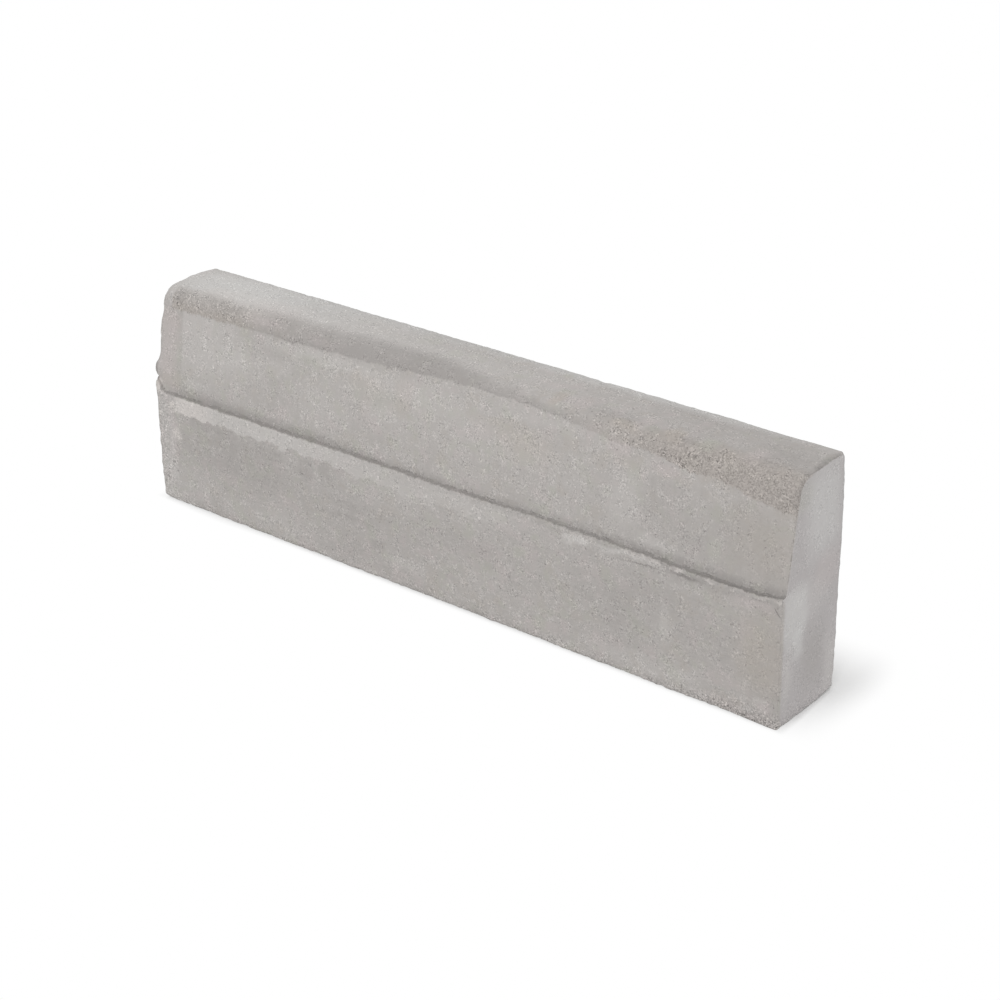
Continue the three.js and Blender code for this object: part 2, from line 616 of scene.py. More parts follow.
def draw_in_ends(wiring, size, spots):
    """Draws the section in round each end face, and keeps the low right front corner nearly in place."""
    from_outline = wiring.least(spots.from_face, spots.from_back, spots.from_top, spots.level)
    radius = end_rounding(wiring, size, spots)
    end_in, section_in = rounding(wiring, spots.from_end, from_outline, radius)
    spots.x -= end_in * wiring.maths("SIGN", spots.x)
    half_width = size.width / 2.0
    half_height = size.height / 2.0
    spots.y *= 1.0 - section_in / half_width
    lifted = wiring.most(
        wiring.ramp(spots.level, 5 * MM, 30 * MM, 0.2, 1.0),
        wiring.ramp(spots.from_face, 15 * MM, 45 * MM, 0.2, 1.0),
        wiring.ramp(spots.x, 440 * MM, 480 * MM, 1.0, 0.2),
    )
    drawn_in = section_in * lifted / half_height
    above_middle = spots.z - half_height
    spots.z = half_height + above_middle * (1.0 - drawn_in)

    # The nose is too round to wear like the other long edges
    along_edge = wiring.least(
        wiring.most(spots.from_face, spots.level),
        wiring.most(spots.from_back, wiring.least(spots.from_top, spots.level)),
    )
    spots.to_edge = wiring.least(along_edge, wiring.most(spots.from_end, from_outline))

    # The finish of the road face runs on over the worn right end of the nose
    over_nose = (
        wiring.ramp(spots.level, 180 * MM, 270 * MM, 0.0, 2.6 * MM)
        * wiring.ramp(spots.y, 20 * MM, -20 * MM)
        * wiring.ramp(spots.x, 0.0, 1 * MM)
    )
    spots.onto_end = from_outline - spots.from_end - over_nose


def casting_shape(wiring, size):
    """Where each grid point lies on the clean cast stone, and how far it is from its sides and edges."""
    spots = place_on_block(wiring, size)
    round_long_edges(wiring, size, spots)
    shift_lip(wiring, size, spots)
    draw_in_ends(wiring, size, spots)
    return spots


# Where the sand is laid bare along the nose, from the left end to the right, as shares of the length and of
# the reach: how far it comes down the road face, how far it goes back over the top, and how coarse it is
SAND_REACH = 50 * MM
SAND_DOWN = (
    (0.0, 0.55), (0.1, 0.5), (0.15, 0.48), (0.2, 0.44), (0.26, 0.43), (0.3, 0.41), (0.38, 0.37),
    (0.42, 0.34), (0.46, 0.27), (0.53, 0.2), (0.6, 0.22), (0.65, 0.24), (0.7, 0.33), (0.75, 0.41),
    (0.8, 0.45), (0.85, 0.57), (0.9, 0.6), (0.93, 0.72), (0.96, 0.82), (1.0, 0.86),
)
SAND_BACK = (
    (0.0, 0.08), (0.03, 0.14), (0.07, 0.2), (0.14, 0.17), (0.2, 0.32), (0.27, 0.4), (0.35, 0.5),
    (0.45, 0.6), (0.5, 0.5), (0.54, 0.3), (0.58, 0.2), (0.62, 0.12), (0.66, 0.0), (0.7, 0.03),
    (0.74, 0.23), (0.8, 0.2), (0.85, 0.28), (0.95, 0.34), (1.0, 0.26),
)
SAND_COARSE = (
    (0.0, 0.8), (0.06, 0.9), (0.13, 0.9), (0.17, 0.45), (0.23, 0.15), (0.3, 0.02), (0.66, 0.02),
    (0.72, 0.45), (0.79, 0.8), (0.86, 1.0), (1.0, 1.0),
)


def bared_sand(wiring, size, spots, place):
    """Distances inside the sand's lower and upper limits, how coarse it is, and how fully it is bared."""
    share = spots.run / size.length
    below_nose = spots.from_top - spots.from_face
    torn = wiring.swing(place, 26 * MM, size.seed, detail=4.0, roughness=0.6) * (12 * MM)
    reach_down = wiring.curve(share, SAND_DOWN) * SAND_REACH
    reach_back = wiring.curve(share, SAND_BACK) * SAND_REACH
    down = reach_down - (below_nose + torn)
    back = reach_back + below_nose + torn * 2.0
    on_skin = (
        wiring.ramp(wiring.least(spots.from_top, spots.from_face), 0.5 * MM, 4 * MM, 1.0, 0.0)
        * wiring.ramp(spots.run + torn, 20 * MM, 25 * MM)
    )
    coarse = wiring.curve(share, SAND_COARSE)
    bared = (
        wiring.ramp(down, -1 * MM, 4 * MM)
        * wiring.ramp(back, -4 * MM, 8 * MM)
        * on_skin
        * wiring.ramp(spots.from_end, -1 * MM, 5 * MM)
    )
    inside = down * on_skin - (1.0 - on_skin) * (8 * MM)
    return inside, back, coarse, bared


# Tints that stain the skin, in the order in which they lie over each other
STAINS = ("dark", "ochre", "olive", "rose", "pale", "cool", "cream")

# Stains and pale patches: tint, centre, reach, strength and softness. Centres and reaches are in
# millimetres.
FACE_PATCHES = (
    # Road face below the lip
    ("dark", (-330, -60, 96), (150, 20, 48), 0.3, 0.7),
    ("dark", (-395, -60, 130), (62, 20, 8), 0.3, 0.5),
    ("dark", (-295, -60, 124), (40, 20, 11), 0.25, 0.6),
    ("dark", (-220, -60, 118), (18, 20, 20), 0.45, 0.5),
    ("dark", (-187, -60, 122), (14, 20, 18), 0.45, 0.5),
    ("dark", (-150, -60, 70), (70, 20, 6), 0.45, 0.6),
    ("dark", (-140, -60, 90), (80, 20, 12), 0.3, 0.8),
    ("dark", (-100, -60, 46), (18, 20, 9), 0.4, 0.6),
    ("pale", (-300, -60, 26), (130, 20, 30), 0.25, 0.9),
    ("pale", (-440, -60, 36), (70, 20, 38), 0.25, 0.9),
    ("pale", (-60, -60, 118), (230, 20, 26), 0.12, 0.8),
    ("pale", (55, -60, 145), (120, 20, 16), 0.3, 0.8),
    ("dark", (-172, -60, 120), (30, 20, 34), 0.32, 0.8),
    ("dark", (30, -60, 108), (110, 20, 24), 0.15, 0.8),
    ("pale", (216, -60, 152), (24, 20, 7), 0.75, 0.5),
    ("pale", (285, -60, 156), (62, 20, 4), 0.5, 0.6),
    ("pale", (344, -60, 82), (12, 20, 40), 0.35, 0.9),
    ("dark", (330, -60, 122), (44, 20, 22), 0.25, 0.7),
    ("dark", (340, -60, 90), (260, 20, 80), 0.26, 0.9),
    ("pale", (300, -60, 22), (140, 20, 16), 0.25, 0.8),
    ("dark", (430, -60, 151), (100, 20, 8), 0.4, 0.7),
    ("dark", (478, -60, 80), (34, 20, 90), 0.3, 0.8),
    ("dark", (498, -58, 72), (8, 10, 96), 0.5, 0.6),
    ("dark", (280, -60, 70), (44, 20, 80), 0.2, 0.8),
    ("dark", (75, -60, 86), (44, 20, 22), 0.25, 0.8),
    ("pale", (-40, -60, 132), (64, 20, 12), 0.2, 0.8),
    ("pale", (-50, -60, 34), (54, 20, 16), 0.3, 0.8),
    ("cream", (-496, -58, 166), (9, 8, 11), 0.95, 0.4),
    ("dark", (480, -60, 146), (30, 20, 16), 0.35, 0.7),
    ("dark", (450, -60, 8), (64, 20, 9), 0.45, 0.6),
    ("dark", (372, -60, 152), (34, 20, 6), 0.5, 0.5),
    ("rose", (462, -60, 147), (40, 20, 10), 0.5, 0.6),
    ("ochre", (474, -60, 88), (50, 20, 78), 0.42, 0.8),
    ("pale", (476, -60, 28), (12, 20, 4), 0.45, 0.5),
    ("rose", (440, -60, 10), (64, 20, 12), 0.3, 0.7),
    ("dark", (450, -60, 5), (26, 20, 7), 0.6, 0.5),
    ("pale", (459, -60, 15), (12, 20, 4), 0.5, 0.5),
    ("rose", (478, -60, 24), (14, 20, 8), 0.6, 0.6),
    ("dark", (484, -60, 155), (22, 20, 6), 0.5, 0.6),
    ("dark", (402, -60, 156), (20, 20, 4), 0.4, 0.6),
    ("dark", (342, -60, 158), (24, 20, 5), 0.45, 0.6),
    ("dark", (188, -60, 157), (12, 20, 4), 0.4, 0.6),
    ("dark", (69, -60, 2), (16, 20, 5), 0.4, 0.6),
    ("dark", (472, -60, 9), (40, 20, 9), 0.4, 0.7),
    ("pale", (-480, -60, 6), (60, 20, 12), 0.5, 0.8),
    ("pale", (-140, -60, 6), (120, 20, 9), 0.3, 0.8),
    ("pale", (200, -60, 6), (60, 20, 9), 0.3, 0.8),
    # Strip beside the left end, and the start of the pale band
    ("pale", (-482, -60, 90), (22, 20, 100), 0.4, 0.5),
    ("rose", (-468, -60, 100), (12, 20, 60), 0.5, 0.6),
    ("cream", (-462, -60, 104), (10, 20, 10), 0.7, 0.5),
    ("cream", (-462, -60, 142), (16, 20, 12), 0.7, 0.5),
    # Battered face
    ("rose", (-480, -48, 225), (20, 30, 75), 0.65, 0.6),
    ("ochre", (-478, -50, 190), (18, 30, 30), 0.35, 0.7),
    ("rose", (-470, -42, 252), (16, 24, 24), 0.4, 0.6),
    ("olive", (-468, -48, 212), (16, 24, 20), 0.45, 0.6),
    ("pale", (-480, -48, 225), (26, 30, 90), 0.12, 0.6),
    ("pale", (-350, -44, 230), (70, 24, 28), 0.35, 0.9),
    ("pale", (90, -42, 232), (250, 24, 42), 0.15, 0.9),
    ("pale", (-200, -38, 270), (150, 24, 13), 0.4, 0.8),
    ("pale", (275, -46, 218), (36, 24, 60), 0.32, 0.8),
    ("pale", (325, -53, 176), (40, 20, 12), 0.35, 0.8),
    ("pale", (-425, -52, 178), (34, 20, 12), 0.35, 0.8),
    ("pale", (-275, -40, 240), (34, 24, 18), 0.3, 0.8),
    ("pale", (-100, -42, 224), (50, 24, 18), 0.25, 0.8),
    ("dark", (375, -50, 192), (36, 20, 26), 0.35, 0.8),
    ("dark", (482, -50, 182), (34, 24, 18), 0.35, 0.8),
    ("ochre", (-130, -38, 258), (46, 24, 24), 0.35, 0.8),
    ("ochre", (110, -38, 250), (76, 24, 24), 0.25, 0.8),
    ("ochre", (275, -38, 262), (34, 20, 14), 0.25, 0.8),
    ("ochre", (-476, -44, 258), (20, 24, 20), 0.4, 0.8),
    ("olive", (-230, -38, 264), (80, 20, 12), 0.25, 0.8),
    ("pale", (150, -38, 277), (120, 24, 12), 0.25, 0.8),
    ("olive", (-462, -50, 182), (34, 20, 16), 0.35, 0.8),
    ("ochre", (-474, -50, 180), (28, 24, 18), 0.5, 0.7),
    ("dark", (-474, -50, 190), (26, 24, 26), 0.2, 0.8),
    ("pale", (-60, -40, 262), (190, 24, 34), 0.3, 0.9),
    ("olive", (-110, -40, 240), (60, 24, 24), 0.35, 0.8),
    ("rose", (-125, -38, 228), (14, 24, 30), 0.4, 0.7),
    ("ochre", (-66, -38, 250), (22, 24, 34), 0.45, 0.7),
    ("rose", (-60, -38, 262), (18, 24, 22), 0.5, 0.7),
    ("rose", (330, -40, 266), (30, 20, 10), 0.6, 0.6),
    ("rose", (262, -38, 274), (24, 20, 10), 0.6, 0.6),
    ("rose", (60, -38, 242), (24, 24, 16), 0.4, 0.7),
    ("ochre", (130, -38, 236), (60, 24, 30), 0.3, 0.8),
    ("pale", (-190, -48, 215), (90, 24, 50), 0.2, 0.9),
    ("dark", (350, -46, 205), (250, 24, 80), 0.3, 0.9),
    ("olive", (402, -46, 192), (14, 24, 18), 0.4, 0.7),
    ("ochre", (470, -46, 215), (80, 30, 66), 0.3, 0.9),
    ("dark", (460, -46, 215), (80, 30, 74), 0.5, 0.9),
    # Top
    ("dark", (-486, -38, 297), (12, 16, 9), 0.35, 0.6),
    ("pale", (-420, 14, 300), (160, 70, 30), 0.95, 0.8),
    ("cool", (-340, 24, 300), (180, 50, 20), 0.5, 0.8),
    ("cream", (-415, -6, 300), (40, 24, 20), 0.3, 0.8),
    ("rose", (-490, 30, 300), (14, 30, 20), 0.5, 0.7),
    ("rose", (-312, -2, 298), (52, 26, 14), 0.6, 0.7),
    ("cool", (-240, 60, 300), (330, 34, 16), 0.45, 0.9),
    ("cool", (190, 62, 300), (420, 26, 16), 0.55, 0.8),
    ("pale", (-60, 10, 300), (300, 50, 20), 0.42, 0.9),
    ("pale", (-235, -2, 300), (40, 20, 14), 0.4, 0.8),
    ("ochre", (157, -12, 300), (12, 22, 14), 0.6, 0.7),
    ("rose", (186, -8, 300), (22, 26, 14), 0.5, 0.7),
    ("rose", (280, -10, 300), (16, 22, 14), 0.5, 0.7),
    ("ochre", (322, -16, 300), (18, 18, 14), 0.6, 0.7),
    ("olive", (372, -15, 300), (14, 18, 14), 0.6, 0.7),
    ("rose", (430, -8, 299), (16, 26, 14), 0.5, 0.7),
    ("pale", (-190, 22, 300), (140, 60, 20), 0.4, 0.9),
    ("cool", (-455, 12, 300), (70, 60, 20), 0.3, 0.8),
    ("cream", (-320, 0, 300), (120, 30, 16), 0.3, 0.9),
    ("dark", (400, 20, 300), (200, 60, 20), 0.28, 0.8),
    ("dark", (455, 4, 300), (60, 38, 20), 0.5, 0.8),
    ("dark", (245, -14, 300), (90, 18, 12), 0.4, 0.8),
    ("dark", (340, 52, 300), (200, 20, 12), 0.4, 0.8),
    ("dark", (-100, 61, 300), (430, 16, 40), 0.5, 0.5),
    # Nose
    ("rose", (-310, -31, 292), (48, 14, 9), 0.5, 0.7),
    ("rose", (-205, -33, 288), (30, 10, 6), 0.35, 0.7),
    ("ochre", (258, -24, 297), (28, 10, 8), 0.4, 0.7),
    ("dark", (347, -16, 298), (14, 14, 8), 0.5, 0.7),
    ("olive", (368, -18, 299), (12, 12, 8), 0.5, 0.7),
    ("ochre", (400, -22, 298), (18, 10, 8), 0.4, 0.7),
    ("rose", (425, -16, 298), (18, 16, 8), 0.5, 0.7),
)
# The same on the right end
END_PATCHES = (
    ("cool", (500, 20, 246), (60, 50, 76), 0.42, 0.7),
    ("cool", (500, -34, 132), (60, 34, 46), 0.45, 0.5),
    ("pale", (500, -10, 144), (60, 56, 34), 0.25, 0.8),
    ("cool", (500, -26, 96), (60, 16, 28), 0.4, 0.7),
    ("pale", (500, -46, 64), (60, 14, 44), 0.4, 0.8),
    ("dark", (500, 8, 70), (60, 42, 60), 0.4, 0.8),
    ("rose", (500, 30, 168), (60, 40, 34), 0.4, 0.7),
    ("olive", (500, -24, 276), (60, 30, 26), 0.35, 0.7),
    ("pale", (500, 46, 40), (60, 20, 60), 0.4, 0.8),
)


# Size and reach, in millimetres, of the unevenness that patches and bands stray by
STRAY_SIZE = 26
STRAY_REACH = 26.0


def patch_group():
    """A soft patch of any size at any place on the stone, between an ellipse and a box."""
    inputs = {name: (VECTOR, None) for name in ("Place", "Centre", "Reach")}
    inputs["Softness"] = (FLOAT, 0.5)
    tree, wiring, given, leave = new_tree("Stain Patch", "GeometryNodeTree", inputs, {"Mask": FLOAT})
    away = wiring.along("DIVIDE", wiring.along("SUBTRACT", given["Place"], given["Centre"]), given["Reach"])
    away = wiring.along("ABSOLUTE", away)
    straight = wiring.most(*wiring.parts(away))
    distance = (wiring.length(away) + straight) / 2.0
    mask = wiring.ramp(distance, 1.0 - given["Softness"], 1.0, 1.0, 0.0, smooth=True)
    wiring.feed(leave.inputs["Mask"], mask)
    return tree


def stain_masks(wiring, spots, place):
    """How strongly each tint stains each point."""
    astray = wiring.scaled(wiring.astray(place, STRAY_SIZE * MM), STRAY_REACH)
    strayed = wiring.along("ADD", wiring.scaled(place, 1.0 / MM), astray)
    past_arris = wiring.most(
        wiring.ramp(spots.from_face, 3.5 * MM, 6 * MM), wiring.ramp(spots.above_lip, -4 * MM, 0.0)
    )
    on_end = wiring.ramp(spots.onto_end, -0.3 * MM, 0.9 * MM) * past_arris
    off_end = 1.0 - on_end
    on_right_end = on_end * wiring.ramp(spots.x, 0.0, 1 * MM)
    patch = patch_group()
    clear = {name: 1.0 for name in STAINS}
    for patches, where in ((FACE_PATCHES, off_end), (END_PATCHES, on_right_end)):
        for name, centre, reach, strength, softness in patches:
            inputs = {"Place": strayed, "Centre": centre, "Reach": reach, "Softness": softness}
            mask = wiring.call(patch, inputs, "Mask") * where * strength
            clear[name] *= 1.0 - mask
    return {f"{name}_stain": 1.0 - share for name, share in clear.items()}


def worn_away(wiring, size, spots, place):
    """How much each point has lost: worn edges, chips, and flakes off the lip, mostly towards the right."""
    near_edge = wiring.ramp(spots.to_edge, 0.0, 8 * MM, 1.0, 0.0, smooth=True)
    at_foot = (
        corner_share(wiring, 12 * MM, spots.from_face, spots.level)
        * wiring.ramp(spots.x, 430 * MM, 480 * MM, 0.5, -0.45)
    )
    wear_share = 0.6 + at_foot + wiring.bump_at(spots.run, 0.0, 10 * MM) * 0.5
    gnawed = wiring.ramp(wiring.noise(place, 11 * MM, size.seed, detail=4.0, roughness=0.7), 0.4, 0.75)
    wear = near_edge * wear_share * gnawed * size.arris_wear
    to_bite, _ = wiring.scatter(place, 46 * MM, size.seed)
    bites = wiring.ramp(to_bite, 0.08, 0.26, 1.0, 0.0, smooth=True)
    chipped = wiring.ramp(spots.to_edge, 1 * MM, 11 * MM, 1.0, 0.0, smooth=True)
    chips = bites * chipped * size.chip_depth
    to_flake, _ = wiring.scatter(place, 17 * MM, size.seed)
    flakes = wiring.ramp(to_flake, 0.12, 0.5, 1.0, 0.0, smooth=True)
    flaky = (
        wiring.bump_at(spots.above_lip, -1.5 * MM, 9 * MM)
        * wiring.bump_at(spots.from_face, 0.0, 12 * MM)
        * wiring.ramp(spots.x, 100 * MM, 460 * MM, 0.15, 1.0)
    )
    return wear + chips + flakes * flaky * size.lip_flakes


def end_paste(wiring, size, spots):
    """Hardened paste on the left end, beside the road face: its thickness, and where it is smooth."""
    above_lip = spots.z - size.lip_height
    beside_road = (
        wiring.bump_at(spots.run, 0.0, 6 * MM)
        * wiring.bump_at(spots.from_face, 2 * MM, 16 * MM)
        * wiring.ramp(spots.above_lip, 1 * MM, 4 * MM)
    )
    blunt = wiring.least(1.0, wiring.bump_at(above_lip, 30 * MM, 17 * MM) * 1.3)
    thickness = blunt * beside_road * size.burr_height
    return thickness, wiring.bump_at(above_lip, 29 * MM, 25 * MM) * beside_road


def broken_skin(wiring, size, spots):
    """How rough the skin is along the foot, beside the left end and at the low right corner."""
    above_lip = spots.z - size.lip_height
    beside_end = (
        wiring.ramp(spots.run, 10 * MM, 45 * MM, 1.0, 0.0) * wiring.ramp(above_lip, 0.0, 2 * MM, 1.0, 0.0)
    )
    low_corner = (
        wiring.ramp(spots.x, 350 * MM, 430 * MM, 0.0, 1.4)
        * wiring.ramp(spots.level, 8 * MM, 28 * MM, 1.0, 0.0)
    )
    foot = low_corner + wiring.ramp(spots.level, 4 * MM, 15 * MM, 0.8, 0.0)
    end_foot = (
        wiring.ramp(spots.level, 6 * MM, 24 * MM, 1.0, 0.0) * wiring.ramp(spots.onto_end, 0.0, 1 * MM)
    )
    on_face = wiring.bump_at(spots.from_face, 0.0, 14 * MM)
    return wiring.most(wiring.most(beside_end, foot) * on_face, end_foot)


def weathering(wiring, size, spots, normal):
    """How each point moves from the clean shape, and the masks that the finish reads."""
    place = wiring.vector(spots.x, spots.y, spots.z)
    sand_down, sand_back, coarse, bared = bared_sand(wiring, size, spots, place)
    waves = wiring.swing(place, 170 * MM, size.seed, detail=1.0) * size.waviness
    dents = wiring.swing(place, 30 * MM, size.seed, detail=3.0) * size.unevenness
    lumps = wiring.noise(place, 8 * MM, size.seed, detail=3.0, roughness=0.65) - 0.7
    sand = lumps * bared * coarse * coarse * size.sand_relief
    paste, smooth = end_paste(wiring, size, spots)
    lost = worn_away(wiring, size, spots, place) * (1.0 - smooth)
    outward = waves + dents + sand - lost

    # The tip of the lip is worn in at the left end, and the paste stands out above it
    lip_tip = (
        wiring.bump_at(spots.above_lip, 0.0, 5 * MM)
        * wiring.bump_at(spots.run, 0.0, 8 * MM)
        * wiring.bump_at(spots.from_face, 0.0, 14 * MM)
    )
    inward = lip_tip * (3 * MM) - paste
    offset = wiring.along("ADD", wiring.scaled(normal, outward), wiring.vector(inward))
    distances = {
        "sand_down": sand_down,
        "sand_back": sand_back,
        "to_edge": spots.to_edge,
        "onto_end": spots.onto_end,
        "above_lip": spots.above_lip,
        "behind_face": spots.from_face,
    }
    masks = {
        "coarseness": coarse,
        "broken": broken_skin(wiring, size, spots),
        **{name: distance / MM for name, distance in distances.items()},
        **stain_masks(wiring, spots, place),
    }
    return offset, masks


# What is kept of each point's place on the clean stone
KEPT_SPOTS = (
    "x", "y", "z", "run", "level", "above_lip", "from_face", "from_top", "from_end", "to_edge", "onto_end",
)


def casting_tree():
    """Geometry nodes that cast the stone: grid, section, roundings and weathering."""
    inputs = {socket_name(setting): (FLOAT, 0.0) for setting in CASTING_SETTINGS}
    inputs["Concrete"] = ("NodeSocketMaterial", None)
    tree, wiring, given, leave = new_tree(
        "Kerb Casting", "GeometryNodeTree", inputs, {"Casting": "NodeSocketGeometry"}
    )
    size = SimpleNamespace(**{setting: given[socket_name(setting)] for setting in CASTING_SETTINGS})
    columns, files, rows = grid_counts()
    block = wiring.node(
        "GeometryNodeMeshCube",
        {"Size": (2.0, 2.0, 2.0), "Vertices X": columns, "Vertices Y": files, "Vertices Z": rows},
    )
    spots = casting_shape(wiring, size)
    place = wiring.vector(spots.x, spots.y, spots.z)

    # What later steps read is kept on the points, because moving them changes their positions
    geometry = block.outputs["Mesh"]
    for name in KEPT_SPOTS:
        capture = wiring.node("GeometryNodeCaptureAttribute", domain="POINT")
        capture.capture_items.new("FLOAT", name)
        wiring.feed(capture.inputs[0], geometry)
        wiring.feed(capture.inputs[1], getattr(spots, name))
        geometry = capture.outputs[0]
        setattr(spots, name, Value(wiring, capture.outputs[1]))
    shaped = wiring.node("GeometryNodeSetPosition", {"Geometry": geometry, "Position": place}).outputs[0]
    normal = wiring.node("GeometryNodeInputNormal").outputs[0]
    offset, masks = weathering(wiring, size, spots, normal)
    for name, value in masks.items():
        store = wiring.node("GeometryNodeStoreNamedAttribute", data_type="FLOAT", domain="POINT")
        wiring.feed(store.inputs["Geometry"], shaped)
        wiring.feed(store.inputs["Name"], name)
        wiring.feed(store.inputs["Value"], value)
        shaped = store.outputs[0]
    weathered = wiring.node("GeometryNodeSetPosition", {"Geometry": shaped, "Offset": offset}).outputs[0]

    # Nothing reaches below the ground that the stone stands on
    across, deep, tall = wiring.parts(wiring.node("GeometryNodeInputPosition").outputs[0])
    bedded = wiring.node(
        "GeometryNodeSetPosition",
        {"Geometry": weathered, "Position": wiring.vector(across, deep, wiring.most(tall, 0.0))},
    )
    smooth = wiring.node(
        "GeometryNodeSetShadeSmooth", {"Geometry": bedded.outputs[0], "Shade Smooth": True}
    )
    real = wiring.node("GeometryNodeRealizeInstances", {"Geometry": smooth.outputs[0]}).outputs[0]
    finished = wiring.node("GeometryNodeSetMaterial", {"Geometry": real, "Material": given["Concrete"]})
    wiring.feed(leave.inputs["Casting"], finished.outputs[0])
    return tree


def set_inputs(modifier, values):
    """Sets a modifier's inputs by name."""
    for item in modifier.node_group.interface.items_tree:
        if item.item_type == "SOCKET" and item.in_out == "INPUT" and item.name in values:
            modifier[item.identifier] = values[item.name]


def plain_mesh(obj, name):
    """The evaluated object's mesh, on its own."""
    graph = bpy.context.evaluated_depsgraph_get()
    evaluated = obj.evaluated_get(graph)
    mesh = bpy.data.meshes.new_from_object(evaluated, preserve_all_data_layers=True, depsgraph=graph)
    mesh.name = name
    return mesh


# ---------------------------------------------------------------------------
# Concrete
# ---------------------------------------------------------------------------


# Places and distances in the functions below are in millimetres: x along the stone from its middle,
# y towards its back and z up from its base.

# Marks that the casting leaves on its points for the finish: two shares, and distances
MARKS = (
    "coarseness", "broken", "sand_down", "sand_back", "to_edge", "onto_end", "above_lip", "behind_face",
)


def read_skin(wiring, look):
    """Where each point lies, in millimetres, its marks, and the noises that several layers share."""
    place = wiring.scaled(wiring.node("ShaderNodeTexCoord").outputs["Object"], 1.0 / MM)
    x, y, z = wiring.parts(place)
    spot = SimpleNamespace(place=place, x=x, y=y, z=z)
    for name in MARKS:
        setattr(spot, name, wiring.mark(name))
    spot.wide = wiring.swing(place, 110, detail=4.0, roughness=0.6)
    spot.close = wiring.swing(place, 15, detail=3.0, roughness=0.7)
    spot.torn = wiring.swing(place, 7, detail=3.0, roughness=0.75)
    spot.fine = wiring.swing(place, 1.9, roughness=0.8)
    spot.drags = wiring.swing(wiring.along("MULTIPLY", place, (0.1, 0.5, 1.0)), 5, roughness=0.65)
    spot.runs = wiring.swing(wiring.along("MULTIPLY", place, (1.0, 0.4, 0.12)), 5, roughness=0.65)
    shade = (
        spot.wide * 0.7
        + spot.close * 0.8
        + spot.drags * wiring.ramp(z, 150, 170, 0.8, 0.3)
        + spot.runs * wiring.ramp(z, 150, 170, 0.2, 0.5)
    )
    spot.shade = shade * look.mottling
    spot.on_road_face = wiring.ramp(spot.behind_face, 2.0, 10.0, 1.0, 0.0)
    past_arris = wiring.most(
        wiring.ramp(spot.behind_face + spot.torn * 3.0, 3.5, 6.0), wiring.ramp(spot.above_lip, -4.0, 0.0)
    )
    over_arris = spot.onto_end + spot.torn * wiring.ramp(z, 150, 175, 0.0, 4.5)
    spot.on_end = wiring.ramp(over_arris, -0.3, 0.9) * past_arris
    spot.off_end = 1.0 - spot.on_end
    spot.on_right_end = spot.on_end * wiring.ramp(x, 0, 1)
    frayed = spot.torn * 1.6 + spot.fine * 0.8
    frayed = 1.0 + frayed * wiring.ramp(spot.on_end, 0.0, 1.0, 1.0, 0.6)
    spot.stains = {name: wiring.mark(f"{name}_stain") * frayed for name in STAINS}
    return spot


def lay_stains(wiring, tint, colour, stains, share):
    """Blends the stains that the casting carries into a colour."""
    for name, stain in stains.items():
        colour = wiring.blend(stain * share, colour, tint[name])
    return colour


def skin_colour(wiring, look, tint, spot):
    """The cement skin: clouds, faint tinges, stains, a pale panel and the pale band under the lip."""
    astray = wiring.astray(spot.place, STRAY_SIZE)
    across, _, tall = wiring.parts(wiring.along("ADD", spot.place, wiring.scaled(astray, STRAY_REACH)))
    greenish, warm, _ = wiring.parts(wiring.scaled(astray, look.mottling))
    colour = wiring.blend(wiring.ramp(spot.shade, 0.0, 0.6, 0.0, 0.6), tint["paste"], tint["pale"])
    colour = wiring.blend(wiring.ramp(spot.shade, 0.0, -0.6, 0.0, 0.8), colour, tint["dark"])
    colour = wiring.blend(wiring.ramp(warm, 0.02, 0.15, 0.0, 0.5), colour, tint["rose"])
    colour = wiring.blend(wiring.ramp(warm, -0.03, -0.16, 0.0, 0.3), colour, tint["ochre"])
    colour = wiring.blend(wiring.ramp(greenish, 0.04, 0.16, 0.0, 0.55), colour, tint["olive"])
    dragged = (
        wiring.ramp(spot.drags, 0.08, 0.22)
        * wiring.ramp(spot.z, 110, 150, 0.5, 0.15)
        * wiring.ramp(spot.behind_face, 2.0, 10.0, 1.0, 0.3)
    )
    dragged *= wiring.ramp(spot.wide, -0.1, 0.1, 1.0, 0.3)
    colour = wiring.blend(dragged, colour, tint["dark"])
    colour = wiring.blend(spot.on_right_end * 0.85, colour, tint["mauve"])
    colour = lay_stains(wiring, tint, colour, spot.stains, 1.0)

    # Pale panel near the left end of the battered face, cut off straight on its left
    panel = (
        wiring.ramp(spot.x, -458, -454)
        * wiring.ramp(across, -410, -320, 1.0, 0.0)
        * wiring.ramp(tall, 176, 215)
        * wiring.ramp(spot.behind_face, 2.0, 6.0, 0.4, 0.0)
    )
    colour = wiring.blend(panel, colour, tint["pale"])

    # Pale band under the lip, with a torn lower limit, rosy at its start and fading to the right
    band_foot = wiring.ramp(across, -200, 0, -21.0, -27.0) + (spot.z - tall) * 1.2 + spot.torn * 8.0
    band = (
        wiring.ramp(spot.above_lip, band_foot - 1.2, band_foot + 1.2, smooth=True)
        * wiring.ramp(spot.above_lip, -0.3, 0.6, 1.0, 0.0)
        * wiring.ramp(spot.y, -50, -56)
        * wiring.ramp(spot.x, -466, -454)
    )
    rosy = band * wiring.ramp(across, -415, -385, 0.65, 0.0)
    colour = wiring.blend(band * wiring.ramp(spot.x, -280, 190, 0.68, 0.0), colour, tint["pale"])
    return wiring.blend(rosy, colour, tint["cream"])


